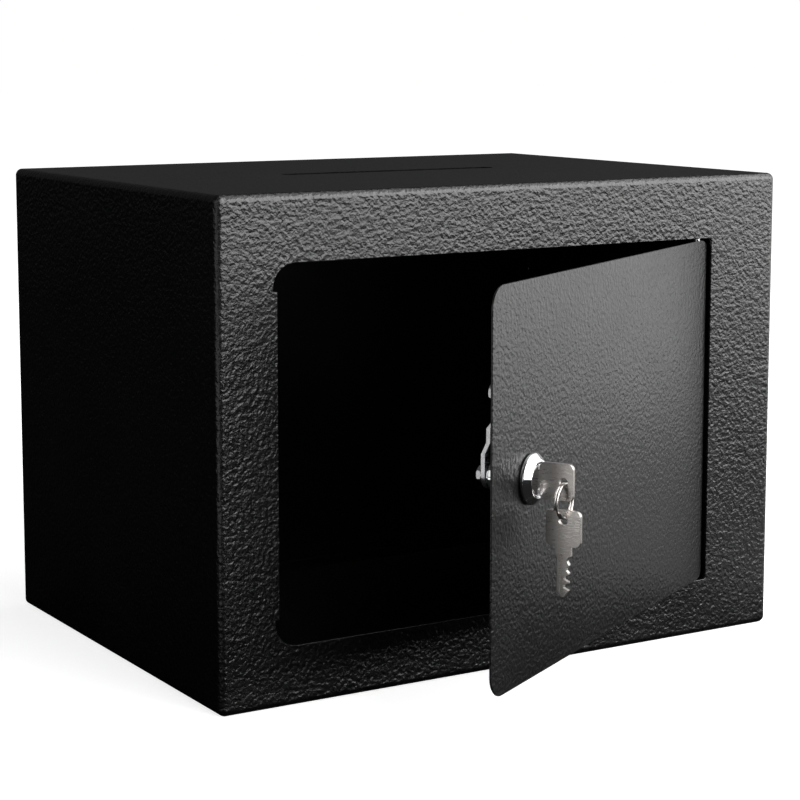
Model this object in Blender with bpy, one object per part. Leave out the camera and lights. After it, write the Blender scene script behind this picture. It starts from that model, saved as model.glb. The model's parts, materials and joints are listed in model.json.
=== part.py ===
"""A small sheet-steel money safe with a coin and card slot in its top.

The cabinet stands on the XY plane with its front towards -Y, and the origin is the centre of its
base. The door is hinged at the right and stands partly open. Everything on the door is placed in
the door's own frame, whose origin is the hinge line, and everything in the lock in the lock's own
frame: origin on the door's outer face, +Z out of the door, +Y up, +X towards the hinge.
"""

import math

import bmesh
import bpy
from mathutils import Vector

MM = 0.001

# Clearances
GAP = 0.3 * MM                    # between pieces that touch or are welded together
RUNNING_GAP = 0.3 * MM            # round a pin, plug or key that moves
DOOR_GAP = 0.5 * MM               # between the door's edges and the opening

# Cabinet
CABINET_WIDTH = 230 * MM
CABINET_HEIGHT = 170 * MM
CABINET_DEPTH = 170 * MM
SHEET = 1.2 * MM
BEND_RADIUS = 2.5 * MM            # outside radius of the cabinet's edges
LATCH_STRIP = 20.5 * MM           # front panel beside the opening, on the latch side
HINGE_STRIP = 29.8 * MM
TOP_STRIP = 22.8 * MM
BOTTOM_STRIP = 20.6 * MM
OPENING_RADIUS = 8 * MM           # corners on the latch side
OPENING_HINGE_RADIUS = 1 * MM     # tighter, so that the turning door clears them
FLANGE_STEP = 1.5 * MM            # how far the latch flange stands into the opening
FLANGE_INSET = 9 * MM             # from the opening's top and bottom to the flange's ends
SLOT_LENGTH = 91 * MM
SLOT_WIDTH = 7 * MM
BACK_FLANGE = 11 * MM

# Door and hinges
DOOR_SHEET = 0.8 * MM
DOOR_RETURN = 7 * MM              # return flange behind the rolled edge
DOOR_HINGE_RADIUS = 8 * MM        # corners at the rolled edge
DOOR_OPEN = math.radians(30)
HINGE_PIN_RADIUS = 1.2 * MM
HINGE_PIN_IN_DOOR = 20 * MM       # from the door's end to the pin's, inside the rolled edge
HINGE_PIN_SHOULDER = 3 * MM       # from the door's end to the pin's thick part
HINGE_PIN_PROUD = 1.5 * MM        # how far a pin passes its bracket
BRACKET_SHEET = 1.5 * MM
BRACKET_DEPTH = 10 * MM
BRACKET_LEFT = 5 * MM             # bracket's reach on the opening's side of the pin
BRACKET_RIGHT = 20 * MM
BRACKET_FOOT_START = 5 * MM       # the welded foot starts this far beside the pin
BRACKET_FROM_OPENING = 3 * MM     # from the opening's edge to the bracket
BRACKET_WALL = 0.4 * MM           # between the pin's hole and the bracket's front edge

# Lock
LOCK_FROM_EDGE = 26.3 * MM        # lock centre from the door's free edge
LOCK_ABOVE_MIDDLE = 0.9 * MM
PLUG_WALL = 0.4 * MM              # outside the wafers' slots
PLUG_FACE_LIP = 0.7 * MM          # face disc's radius beyond the plug's
PLUG_FACE_THICKNESS = 0.7 * MM
BEZEL_LIP = 0.8 * MM              # bezel's thin front edge round the plug's face
BEZEL_SLOPE = 2.1 * MM            # width of the bezel's cone
BEZEL_RIM = 1.4 * MM
BEZEL_HEIGHT = 3.4 * MM
BARREL_WALL = 1.2 * MM
KEYWAY_WEB = 0.3 * MM             # of plug beyond the key's point
PLUG_TAIL = 1.1 * MM              # round part of the plug behind the barrel
NUT_WALL = 1.0 * MM               # over the barrel's hole, at a flat
NUT_THICKNESS = 3.5 * MM
LOCK_WASHER_THICKNESS = 0.8 * MM
LOCK_WASHER_WIDTH = 2.0 * MM      # from its hole to its edge
WAFER_COUNT = 4
WAFER_PITCH = 2.4 * MM
WAFER_THICKNESS = 0.6 * MM
WAFER_WALL = 0.7 * MM
FIRST_WAFER = 1.5 * MM            # first wafer behind the door's outer face

# Cam and its bolt
CAM_THICKNESS = 1.5 * MM
CAM_WIDTH = 8.6 * MM
CAM_TO_FLANGE = 0.5 * MM          # between the latch flange and the cam's tip behind it
CAM_OVERLAP = 2.2 * MM            # length of tip behind the flange when locked
CAM_CRANK = 1.8 * MM
CAM_CRANK_START = 7 * MM
CAM_CRANK_END = 10.8 * MM
CAM_TIP_CRANK = 2.2 * MM
CAM_TIP_CRANK_START = 15.2 * MM
CAM_TIP_CRANK_END = 18 * MM
CAM_TIP_CHAMFER = 2.4 * MM
CAM_SQUARE = 4.4 * MM
CAM_BOLT_RADIUS = 1.3 * MM
CAM_BOLT_FLATS = 4.5 * MM
CAM_BOLT_HEAD = 1.6 * MM
CAM_BOLT_THREAD = 1.0 * MM        # length of thread inside the plug
CAM_WASHER_THICKNESS = 0.5 * MM
CAM_WASHER_RADIUS = 3.2 * MM
STUD_FROM_TIP = 3 * MM            # middle of the stud from the cam's tip
STUD_FLATS = 5 * MM
STUD_LENGTH = 2.2 * MM

# Keys and ring
KEY_THICKNESS = 1.5 * MM
KEY_HEAD_LENGTH = 11.3 * MM
KEY_HEAD_WIDTH = 11.6 * MM
KEY_HEAD_RADIUS = 1.8 * MM
KEY_NECK_WIDTH = 5.2 * MM
KEY_NECK_LENGTH = 3.0 * MM
KEY_BLADE_WIDTH = 4.0 * MM
KEY_BLADE_LENGTH = 15.9 * MM       # from the head to the point
KEY_POINT_LENGTH = 2.0 * MM
KEY_POINT_WIDTH = 1.2 * MM
KEY_CUT_DEPTHS = (0.5 * MM, 0.8 * MM, 1.6 * MM, 1.8 * MM)
KEY_CUT_MOUTH = 0.9               # share of the pitch that a cut takes at the blade's edge
KEY_CUT_FLOOR = 0.25              # and at its floor
KEY_HOLE_RADIUS = 1.45 * MM
KEY_HOLE_FROM_END = 3.2 * MM
RING_RADIUS = 5.4 * MM            # to the middle of the wire
RING_WIRE = 0.8 * MM
RING_EDGE = 0.2 * MM              # bevel along the wire
RING_DEPTH = 1.5 * MM
RING_PLAY = 0.1 * MM              # left round the wire at any angle in a key's hole

# Facets
ROUND_SIDES = 48
SMALL_SIDES = 24
ARC_STEPS = 6
WELD = 0.001 * MM                 # corners nearer than this are one corner
SMOOTH_ANGLE = math.radians(35)

# Where things come, worked out from the sizes above
FRONT = -CABINET_DEPTH / 2
OPENING_LEFT = -CABINET_WIDTH / 2 + LATCH_STRIP
OPENING_RIGHT = CABINET_WIDTH / 2 - HINGE_STRIP
OPENING_BOTTOM = BOTTOM_STRIP
OPENING_TOP = CABINET_HEIGHT - TOP_STRIP
FLANGE_FACE = OPENING_LEFT + FLANGE_STEP
# The door's outside bend radius, centred on the hinge line
DOOR_BEND = SHEET + GAP + BRACKET_WALL + RUNNING_GAP + HINGE_PIN_RADIUS
BRACKET_FOOT_HEIGHT = min(TOP_STRIP, BOTTOM_STRIP) - BRACKET_FROM_OPENING - BEND_RADIUS - GAP
HINGE_X = OPENING_RIGHT - DOOR_GAP - DOOR_BEND
HINGE_Y = FRONT + DOOR_BEND
DOOR_REACH = HINGE_X - FLANGE_FACE - DOOR_GAP     # hinge line to free edge
DOOR_BOTTOM = OPENING_BOTTOM + DOOR_GAP
DOOR_TOP = OPENING_TOP - DOOR_GAP
LOCK_X = -DOOR_REACH + LOCK_FROM_EDGE             # in the door's frame
LOCK_HEIGHT = (DOOR_BOTTOM + DOOR_TOP) / 2 + LOCK_ABOVE_MIDDLE
KEYWAY_HALF_WIDTH = KEY_THICKNESS / 2 + RUNNING_GAP
KEYWAY_HALF_HEIGHT = max(KEY_BLADE_WIDTH, KEY_NECK_WIDTH) / 2 + RUNNING_GAP
PLUG_RADIUS = KEYWAY_HALF_HEIGHT + WAFER_WALL + GAP + PLUG_WALL
PLUG_BORE = PLUG_RADIUS + RUNNING_GAP
BARREL_RADIUS = PLUG_BORE + BARREL_WALL
BARREL_HOLE = BARREL_RADIUS + GAP
PLUG_FACE_RADIUS = PLUG_RADIUS + PLUG_FACE_LIP
BEZEL_BORE = PLUG_FACE_RADIUS + RUNNING_GAP
BEZEL_FRONT_RADIUS = BEZEL_BORE + BEZEL_LIP
BEZEL_RADIUS = BEZEL_FRONT_RADIUS + BEZEL_SLOPE
BEZEL_RECESS = BEZEL_HEIGHT - PLUG_FACE_THICKNESS - RUNNING_GAP - GAP
PLUG_FACE = BEZEL_RECESS + RUNNING_GAP + PLUG_FACE_THICKNESS
KEY_SHOULDER = PLUG_FACE + RUNNING_GAP
KEYWAY_END = KEY_SHOULDER - KEY_BLADE_LENGTH - RUNNING_GAP
PLUG_END = KEYWAY_END - KEYWAY_WEB
BARREL_END = -PLUG_END - PLUG_TAIL                # barrel's length behind the door's outer face
CAM_FRONT = PLUG_END - GAP                        # root of the cam, on the door's side
CAM_BACK = CAM_FRONT - CAM_THICKNESS
CAM_TIP_BACK = CAM_BACK + CAM_CRANK + CAM_TIP_CRANK
CAM_REACH = LOCK_FROM_EDGE + DOOR_GAP + CAM_OVERLAP
FLANGE_DEPTH = -(CAM_TIP_BACK + CAM_THICKNESS) - CAM_TO_FLANGE      # behind the cabinet's front
KEY_HOLE = KEY_SHOULDER + KEY_HEAD_LENGTH - KEY_HOLE_FROM_END
RING_SWEEP = math.hypot(RING_WIRE, RING_DEPTH) / 2          # radius that the turning wire needs
RING_DROP = KEY_HOLE_RADIUS - RING_SWEEP - RING_PLAY        # wire's centre below a key hole's centre


# ---------------------------------------------------------------- making and placing

def clear_scene():
    for old in list(bpy.data.objects):
        bpy.data.objects.remove(old, do_unlink=True)


def material(name, colour, metallic, roughness):
    made = bpy.data.materials.new(name)
    made.use_nodes = True
    shader = made.node_tree.nodes["Principled BSDF"]
    shader.inputs["Base Color"].default_value = (*colour, 1)
    shader.inputs["Metallic"].default_value = metallic
    shader.inputs["Roughness"].default_value = roughness
    return made


def axis_empty(name, place, parent=None, turn=(0, 0, 0)):
    empty = bpy.data.objects.new(name, None)
    empty.empty_display_size = 10 * MM
    empty.location = place
    empty.rotation_euler = turn
    empty.parent = parent
    bpy.context.scene.collection.objects.link(empty)
    return empty


def add(name, shape, look=None, parent=None):
    """A bmesh made into an object, smooth where its faces meet at a shallow angle."""
    bmesh.ops.recalc_face_normals(shape, faces=shape.faces)
    mesh = bpy.data.meshes.new(name)
    shape.to_mesh(mesh)
    shape.free()
    mesh.shade_smooth()
    mesh.set_sharp_from_angle(angle=SMOOTH_ANGLE)
    if look:
        mesh.materials.append(look)
    made = bpy.data.objects.new(name, mesh)
    made.parent = parent
    bpy.context.scene.collection.objects.link(made)
    return made


def boolean(target, shape, operation="DIFFERENCE"):
    """Cut, join or trim an object with a bmesh, which becomes its hidden helper."""
    helper = add(f"{target.name}_{operation.lower()}", shape, parent=target.parent)
    helper.hide_render = True
    helper.display_type = "WIRE"
    helper.location = target.location
    helper.rotation_euler = target.rotation_euler
    modifier = target.modifiers.new(operation.title(), "BOOLEAN")
    modifier.operation = operation
    modifier.object = helper
    return target


# ---------------------------------------------------------------- shapes

def block(low, high):
    shape = bmesh.new()
    bmesh.ops.create_cube(shape, size=1)
    low, high = Vector(low), Vector(high)
    for vertex in shape.verts:
        vertex.co = Vector(a + (b - a) * (c + 0.5) for a, b, c in zip(low, high, vertex.co))
    return shape


def prism(outline, low, high, axis="Z"):
    """An outline of (across, up) points pushed from low to high along X, Y or Z."""
    places = {
        "X": lambda a, b, c: (c, a, b),
        "Y": lambda a, b, c: (a, c, b),
        "Z": lambda a, b, c: (a, b, c),
    }
    place = places[axis]
    shape = bmesh.new()
    face = shape.faces.new([shape.verts.new(place(a, b, low)) for a, b in outline])
    pushed = bmesh.ops.extrude_face_region(shape, geom=[face])["geom"]
    shift = Vector(place(0, 0, high - low))
    bmesh.ops.translate(shape, verts=[v for v in pushed if isinstance(v, bmesh.types.BMVert)], vec=shift)
    return shape


def turned(profile, sides=ROUND_SIDES, place=(0, 0, 0)):
    """A closed profile of (radius, height) points turned round Z."""
    shape = bmesh.new()
    corners = [shape.verts.new((radius, 0, height)) for radius, height in profile]
    edges = [shape.edges.new((a, b)) for a, b in zip(corners, corners[1:] + corners[:1])]
    bmesh.ops.spin(
        shape, geom=corners + edges, cent=(0, 0, 0), axis=(0, 0, 1), angle=2 * math.pi, steps=sides,
        use_merge=True,
    )
    bmesh.ops.remove_doubles(shape, verts=shape.verts, dist=WELD)
    bmesh.ops.dissolve_degenerate(shape, dist=WELD, edges=shape.edges)
    bmesh.ops.translate(shape, verts=shape.verts, vec=place)
    return shape


def rod(radius, low, high, sides=SMALL_SIDES, place=(0, 0)):
    outline = arc(place, radius, 0, 360, sides)[:-1]
    return prism(outline, low, high)


def ring(outer, inner, low, high, sides=ROUND_SIDES):
    return turned([(inner, low), (outer, low), (outer, high), (inner, high)], sides)


def hexagon(flats, low, high, place=(0, 0)):
    outline = arc(place, flats / math.sqrt(3), 30, 390, 6)[:-1]
    return prism(outline, low, high)


def arc(centre, radius, start, end, steps=ARC_STEPS):
    """Points along an arc, with its angles in degrees."""
    angles = [math.radians(start + (end - start) * i / steps) for i in range(steps + 1)]
    return [(centre[0] + radius * math.cos(a), centre[1] + radius * math.sin(a)) for a in angles]


def rounded_outline(left, right, bottom, top, left_radius, right_radius):
    return (
        arc((right - right_radius, bottom + right_radius), right_radius, -90, 0)
        + arc((right - right_radius, top - right_radius), right_radius, 0, 90)
        + arc((left + left_radius, top - left_radius), left_radius, 90, 180)
        + arc((left + left_radius, bottom + left_radius), left_radius, 180, 270)
    )


def open_box(width, height, low, high, open_face, radius, name, look):
    """A folded sheet box between two Y planes, with its front or back left off."""
    shape = block((-width / 2, low, (CABINET_HEIGHT - height) / 2),
                  (width / 2, high, (CABINET_HEIGHT + height) / 2))
    shape.normal_update()
    lost = [face for face in shape.faces if face.normal.y * open_face > 0.5]
    bmesh.ops.delete(shape, geom=lost, context="FACES")
    made = add(name, shape, look)
    bend = made.modifiers.new("Bend radius", "BEVEL")
    bend.width = radius
    bend.segments = ARC_STEPS
    bend.limit_method = "ANGLE"
    wall = made.modifiers.new("Sheet", "SOLIDIFY")
    wall.thickness = SHEET
    wall.offset = -1
    wall.use_even_offset = True
    return made


# ---------------------------------------------------------------- cabinet

def opening_outline():
    """The doorway, narrowed between the notches that free the latch flange."""
    outline = rounded_outline(
        OPENING_LEFT, OPENING_RIGHT, OPENING_BOTTOM, OPENING_TOP, OPENING_RADIUS, OPENING_HINGE_RADIUS,
    )
    high, low = OPENING_TOP - FLANGE_INSET, OPENING_BOTTOM + FLANGE_INSET
    step = [(OPENING_LEFT, high), (FLANGE_FACE, high), (FLANGE_FACE, low), (OPENING_LEFT, low)]
    corners_before_step = 3 * (ARC_STEPS + 1)
    return outline[:corners_before_step] + step + outline[corners_before_step:]


def cabinet_shell(paint):
    shell = open_box(CABINET_WIDTH, CABINET_HEIGHT, FRONT, -FRONT, 1, BEND_RADIUS, "cabinet_shell", paint)
    flange_back = FRONT + FLANGE_DEPTH
    flange = block(
        (FLANGE_FACE - SHEET, FRONT + SHEET / 2, OPENING_BOTTOM),
        (FLANGE_FACE + SHEET, flange_back, OPENING_TOP),
    )
    boolean(shell, flange, "UNION")
    boolean(shell, prism(opening_outline(), FRONT - SHEET, flange_back + SHEET, "Y"))
    end = SLOT_LENGTH / 2 - SLOT_WIDTH / 2
    slot = arc((end, 0), SLOT_WIDTH / 2, -90, 90, 2 * ARC_STEPS)
    slot += arc((-end, 0), SLOT_WIDTH / 2, 90, 270, 2 * ARC_STEPS)
    boolean(shell, prism(slot, CABINET_HEIGHT - 2 * SHEET, CABINET_HEIGHT + SHEET))


def back_panel(paint):
    """A shallow pan pushed into the open back of the shell and spot-welded to it."""
    width = CABINET_WIDTH - 2 * SHEET - 2 * GAP
    height = CABINET_HEIGHT - 2 * SHEET - 2 * GAP
    open_box(width, height, -FRONT - BACK_FLANGE, -FRONT, -1, BEND_RADIUS - SHEET, "back_panel", paint)


def hinge_bracket(name, pin_level, towards, paint):
    """An angle welded behind the front panel, with the pin's hole in its shelf."""
    front = FRONT + SHEET + GAP
    shelf_end = pin_level + towards * BRACKET_SHEET
    foot_end = pin_level + towards * BRACKET_FOOT_HEIGHT
    shelf = block(
        (HINGE_X - BRACKET_LEFT, front, min(pin_level, shelf_end)),
        (HINGE_X + BRACKET_RIGHT, front + BRACKET_DEPTH, max(pin_level, shelf_end)),
    )
    foot = block(
        (HINGE_X + BRACKET_FOOT_START, front, min(pin_level, foot_end)),
        (HINGE_X + BRACKET_RIGHT, front + BRACKET_SHEET, max(pin_level, foot_end)),
    )
    bracket = add(name, shelf, paint)
    boolean(bracket, foot, "UNION")
    low, high = sorted((pin_level - towards * BRACKET_SHEET, shelf_end + towards * BRACKET_SHEET))
    boolean(bracket, rod(HINGE_PIN_RADIUS + RUNNING_GAP, low, high, place=(HINGE_X, HINGE_Y)))


# ---------------------------------------------------------------- door

def door_plate(paint, door_axis):
    """A flat sheet with its hinge edge rolled back round the hinge line."""
    outer, inner = DOOR_BEND, DOOR_BEND - DOOR_SHEET
    spare = DOOR_GAP                       # raw edge beyond the trimmed outline
    section = [(-DOOR_REACH - spare, -outer)]
    section += arc((0, 0), outer, -90, 0)
    section += [(outer, DOOR_RETURN), (inner, DOOR_RETURN)]
    section += arc((0, 0), inner, 0, -90)
    section += [(-DOOR_REACH - spare, -inner)]
    plate = add("door_plate", prism(section, DOOR_BOTTOM - spare, DOOR_TOP + spare), paint, door_axis)
    trimmed = rounded_outline(
        -DOOR_REACH, outer + spare, DOOR_BOTTOM, DOOR_TOP, OPENING_RADIUS - DOOR_GAP, DOOR_HINGE_RADIUS,
    )
    boolean(plate, prism(trimmed, -2 * outer, 2 * DOOR_RETURN, "Y"), "INTERSECT")
    hole = arc((LOCK_X, LOCK_HEIGHT), BARREL_HOLE, 0, 360, ROUND_SIDES)[:-1]
    boolean(plate, prism(hole, -outer - DOOR_SHEET, -inner + DOOR_SHEET, "Y"))


def hinge_pin(name, door_end, towards, bracket_level, steel, door_axis):
    """A stepped pin: its thick part is welded inside the rolled edge, its thin end turns in the bracket."""
    inner = door_end - towards * HINGE_PIN_IN_DOOR
    shoulder = door_end - towards * HINGE_PIN_SHOULDER
    tip = bracket_level + towards * (BRACKET_SHEET + HINGE_PIN_PROUD)
    thick = DOOR_BEND - DOOR_SHEET - GAP
    profile = [
        (0, inner), (thick, inner), (thick, shoulder), (HINGE_PIN_RADIUS, shoulder),
        (HINGE_PIN_RADIUS, tip), (0, tip),
    ]
    add(name, turned(profile, SMALL_SIDES), steel, door_axis)


# ---------------------------------------------------------------- lock

def lock_housing(chrome, lock_axis):
    """A stepped bezel with a threaded barrel that passes through the door."""
    profile = [
        (PLUG_BORE, -BARREL_END), (BARREL_RADIUS, -BARREL_END), (BARREL_RADIUS, GAP),
        (BEZEL_RADIUS, GAP), (BEZEL_RADIUS, BEZEL_RIM), (BEZEL_FRONT_RADIUS, BEZEL_HEIGHT),
        (BEZEL_BORE, BEZEL_HEIGHT), (BEZEL_BORE, BEZEL_RECESS), (PLUG_BORE, BEZEL_RECESS),
    ]
    add("lock_housing", turned(profile), chrome, lock_axis)


def wafer_levels():
    return [-FIRST_WAFER - i * WAFER_PITCH for i in range(WAFER_COUNT)]


def keyway_block(extra, low, high):
    """The key's passage along the lock, made wider and taller all round by an extra."""
    across = KEYWAY_HALF_WIDTH + extra
    up = KEYWAY_HALF_HEIGHT + extra
    return block((-across, -up, low), (across, up, high))


def lock_plug(chrome, lock_axis):
    """The turning cylinder: keyway, a slot for each wafer, and a square tail for the cam."""
    square_end = CAM_BACK + GAP
    profile = [
        (0, PLUG_END), (PLUG_RADIUS, PLUG_END), (PLUG_RADIUS, BEZEL_RECESS + RUNNING_GAP),
        (PLUG_FACE_RADIUS, BEZEL_RECESS + RUNNING_GAP), (PLUG_FACE_RADIUS, PLUG_FACE - GAP),
        (PLUG_RADIUS, PLUG_FACE), (0, PLUG_FACE),
    ]
    plug = add("lock_plug", turned(profile), chrome, lock_axis)
    half = CAM_SQUARE / 2
    boolean(plug, block((-half, -half, square_end), (half, half, PLUG_END + GAP)), "UNION")
    boolean(plug, keyway_block(0, KEYWAY_END, PLUG_FACE + GAP))
    for level in wafer_levels():
        reach = WAFER_THICKNESS / 2 + GAP
        boolean(plug, keyway_block(WAFER_WALL + GAP, level - reach, level + reach))
    thread = square_end + CAM_BOLT_THREAD + GAP
    boolean(plug, rod(CAM_BOLT_RADIUS + GAP, square_end - GAP, thread))


def wafers(brass, lock_axis):
    """Thin plates with a window for the key's blade."""
    for number, level in enumerate(wafer_levels(), 1):
        low, high = level - WAFER_THICKNESS / 2, level + WAFER_THICKNESS / 2
        wafer = add(f"lock_wafer_{number}", keyway_block(WAFER_WALL, low, high), brass, lock_axis)
        boolean(wafer, keyway_block(0, low - GAP, high + GAP))


def lock_fixings(steel, lock_axis):
    """The washer and the hex nut that clamp the barrel behind the door."""
    washer_front = -DOOR_SHEET - GAP
    nut_front = washer_front - LOCK_WASHER_THICKNESS - GAP
    outer = BARREL_HOLE + LOCK_WASHER_WIDTH
    washer = ring(outer, BARREL_HOLE, washer_front - LOCK_WASHER_THICKNESS, washer_front)
    add("lock_washer", washer, steel, lock_axis)
    flats = 2 * (BARREL_HOLE + NUT_WALL)
    nut = add("lock_nut", hexagon(flats, nut_front - NUT_THICKNESS, nut_front), steel, lock_axis)
    boolean(nut, rod(BARREL_HOLE, nut_front - NUT_THICKNESS - GAP, nut_front + GAP, ROUND_SIDES))


def cam(steel, lock_axis):
    """A flat bar cranked twice towards the door, with a round root and a chamfered tip."""
    spare = CAM_WIDTH                      # raw ends beyond the trimmed plan
    back = [
        (-spare, CAM_BACK), (CAM_CRANK_START, CAM_BACK), (CAM_CRANK_END, CAM_BACK + CAM_CRANK),
        (CAM_TIP_CRANK_START, CAM_BACK + CAM_CRANK), (CAM_TIP_CRANK_END, CAM_TIP_BACK),
        (CAM_REACH + spare, CAM_TIP_BACK),
    ]
    side = back + [(up, depth + CAM_THICKNESS) for up, depth in reversed(back)]
    bar = add("cam", prism(side, -CAM_WIDTH, CAM_WIDTH, "X"), steel, lock_axis)
    half = CAM_WIDTH / 2
    shoulder = CAM_REACH - CAM_TIP_CHAMFER / 2
    plan = arc((0, 0), half, 180, 360, 2 * ARC_STEPS)
    plan += [(half, shoulder), (half - CAM_TIP_CHAMFER, CAM_REACH)]
    plan += [(CAM_TIP_CHAMFER - half, CAM_REACH), (-half, shoulder)]
    boolean(bar, prism(plan, 2 * CAM_BACK, 0), "INTERSECT")
    hole = CAM_SQUARE / 2 + GAP
    boolean(bar, block((-hole, -hole, CAM_BACK - GAP), (hole, hole, CAM_FRONT + GAP)))


def cam_fixings(steel, lock_axis):
    washer_front = CAM_BACK - GAP
    head_front = washer_front - CAM_WASHER_THICKNESS - GAP
    washer = ring(
        CAM_WASHER_RADIUS, CAM_BOLT_RADIUS + GAP, washer_front - CAM_WASHER_THICKNESS, washer_front,
        SMALL_SIDES,
    )
    add("cam_washer", washer, steel, lock_axis)
    head = hexagon(CAM_BOLT_FLATS, head_front - CAM_BOLT_HEAD, head_front)
    bolt = add("cam_bolt", head, steel, lock_axis)
    boolean(bolt, rod(CAM_BOLT_RADIUS, head_front - GAP, CAM_BACK + GAP + CAM_BOLT_THREAD), "UNION")


def cam_stud(steel, lock_axis):
    """A hex stud on the back of the cam's tip."""
    front = CAM_TIP_BACK - GAP
    stud = hexagon(STUD_FLATS, front - STUD_LENGTH, front, (0, CAM_REACH - STUD_FROM_TIP))
    add("cam_stud", stud, steel, lock_axis)


# ---------------------------------------------------------------- keys and ring

def key_outline():
    """Head, neck and cut blade, with the hole's centre at the origin and the blade down."""
    top = KEY_HOLE_FROM_END
    shoulder = top - KEY_HEAD_LENGTH
    neck = shoulder - KEY_NECK_LENGTH
    tip = shoulder - KEY_BLADE_LENGTH
    wide, narrow, blade = KEY_HEAD_WIDTH / 2, KEY_NECK_WIDTH / 2, KEY_BLADE_WIDTH / 2
    r = KEY_HEAD_RADIUS
    outline = arc((wide - r, shoulder + r), r, -90, 0) + arc((wide - r, top - r), r, 0, 90)
    outline += arc((r - wide, top - r), r, 90, 180) + arc((r - wide, shoulder + r), r, 180, 270)
    outline += [(-narrow, shoulder), (-narrow, neck)]
    pitch = (neck - tip - KEY_POINT_LENGTH) / len(KEY_CUT_DEPTHS)
    mouth, floor = pitch * KEY_CUT_MOUTH / 2, pitch * KEY_CUT_FLOOR / 2
    for i, depth in enumerate(KEY_CUT_DEPTHS):
        middle = neck - pitch * (i + 0.5)
        outline += [(-blade, middle + mouth), (-blade + depth, middle + floor)]
        outline += [(-blade + depth, middle - floor), (-blade, middle - mouth)]
    point = KEY_POINT_WIDTH / 2
    outline += [(-blade, tip + KEY_POINT_LENGTH), (-point, tip), (point, tip)]
    outline += [(blade, tip + KEY_POINT_LENGTH), (blade, neck), (narrow, neck), (narrow, shoulder)]
    return outline


def key(name, nickel, parent, turn, place):
    blank = prism(key_outline(), -KEY_THICKNESS / 2, KEY_THICKNESS / 2, "X")
    made = add(name, blank, nickel, parent)
    made.rotation_euler = turn
    made.location = place
    hole = arc((0, 0), KEY_HOLE_RADIUS, 0, 360, SMALL_SIDES)[:-1]
    boolean(made, prism(hole, -KEY_THICKNESS, KEY_THICKNESS, "X"))


def split_ring(nickel, ring_axis):
    """The ring hangs from the key's hole: its top is on the swing axis."""
    inner, outer = RING_RADIUS - RING_WIRE / 2, RING_RADIUS + RING_WIRE / 2
    half = RING_DEPTH / 2
    profile = [
        (inner, RING_EDGE - half), (inner + RING_EDGE, -half), (outer - RING_EDGE, -half),
        (outer, RING_EDGE - half), (outer, half - RING_EDGE), (outer - RING_EDGE, half),
        (inner + RING_EDGE, half), (inner, half - RING_EDGE),
    ]
    add("split_ring", turned(profile, place=(0, -RING_RADIUS, 0)), nickel, ring_axis)


# ---------------------------------------------------------------- assembly

def build():
    clear_scene()
    paint = material("black_powder_coat", (0.018, 0.018, 0.019), 0.0, 0.45)
    steel = material("zinc_plated_steel", (0.55, 0.55, 0.56), 1.0, 0.38)
    chrome = material("polished_chrome", (0.82, 0.82, 0.83), 1.0, 0.08)
    brass = material("lock_brass", (0.72, 0.60, 0.36), 1.0, 0.30)
    nickel = material("brushed_nickel", (0.50, 0.48, 0.46), 1.0, 0.30)

    cabinet_shell(paint)
    back_panel(paint)
    upper_level = OPENING_TOP + BRACKET_FROM_OPENING
    lower_level = OPENING_BOTTOM - BRACKET_FROM_OPENING
    hinge_bracket("upper_hinge_bracket", upper_level, 1, paint)
    hinge_bracket("lower_hinge_bracket", lower_level, -1, paint)

    door_axis = axis_empty("door_axis", (HINGE_X, HINGE_Y, 0), turn=(0, 0, DOOR_OPEN))
    door_plate(paint, door_axis)
    hinge_pin("upper_hinge_pin", DOOR_TOP, 1, upper_level, steel, door_axis)
    hinge_pin("lower_hinge_pin", DOOR_BOTTOM, -1, lower_level, steel, door_axis)

    lock_axis = axis_empty("lock_axis", (LOCK_X, -DOOR_BEND, LOCK_HEIGHT), door_axis, (math.pi / 2, 0, 0))
    lock_housing(chrome, lock_axis)
    lock_fixings(steel, lock_axis)
    lock_plug(chrome, lock_axis)
    wafers(brass, lock_axis)
    cam(steel, lock_axis)
    cam_fixings(steel, lock_axis)
    cam_stud(steel, lock_axis)

    key("key", nickel, lock_axis, (0, 0, 0), (0, 0, KEY_HOLE))
    ring_axis = axis_empty("ring_axis", (0, -RING_DROP, KEY_HOLE), lock_axis)
    split_ring(nickel, ring_axis)
    spare_axis = axis_empty("spare_key_axis", (0, -2 * RING_RADIUS, 0), ring_axis)
    key("spare_key", nickel, spare_axis, (-math.pi / 2, 0, 0), (0, -RING_DROP, 0))


build()
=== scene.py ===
import json
import math

import bmesh
import bpy
from mathutils import Matrix, Vector


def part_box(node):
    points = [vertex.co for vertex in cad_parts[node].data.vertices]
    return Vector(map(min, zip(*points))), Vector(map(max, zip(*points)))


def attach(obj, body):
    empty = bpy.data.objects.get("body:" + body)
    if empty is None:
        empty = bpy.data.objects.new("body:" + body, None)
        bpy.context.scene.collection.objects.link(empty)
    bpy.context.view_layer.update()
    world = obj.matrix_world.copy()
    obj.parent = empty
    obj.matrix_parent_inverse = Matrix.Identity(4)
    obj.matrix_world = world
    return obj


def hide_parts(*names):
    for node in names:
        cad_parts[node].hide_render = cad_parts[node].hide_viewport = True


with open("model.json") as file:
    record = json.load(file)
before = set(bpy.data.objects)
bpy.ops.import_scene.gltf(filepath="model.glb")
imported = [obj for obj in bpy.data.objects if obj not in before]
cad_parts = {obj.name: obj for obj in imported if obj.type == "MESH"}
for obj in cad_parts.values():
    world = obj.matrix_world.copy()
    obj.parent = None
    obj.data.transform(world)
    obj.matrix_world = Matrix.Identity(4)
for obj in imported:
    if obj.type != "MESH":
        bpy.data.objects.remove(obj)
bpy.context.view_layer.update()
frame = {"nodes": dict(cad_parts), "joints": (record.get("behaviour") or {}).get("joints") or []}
joints = {joint["name"]: joint for joint in frame["joints"]}

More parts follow.
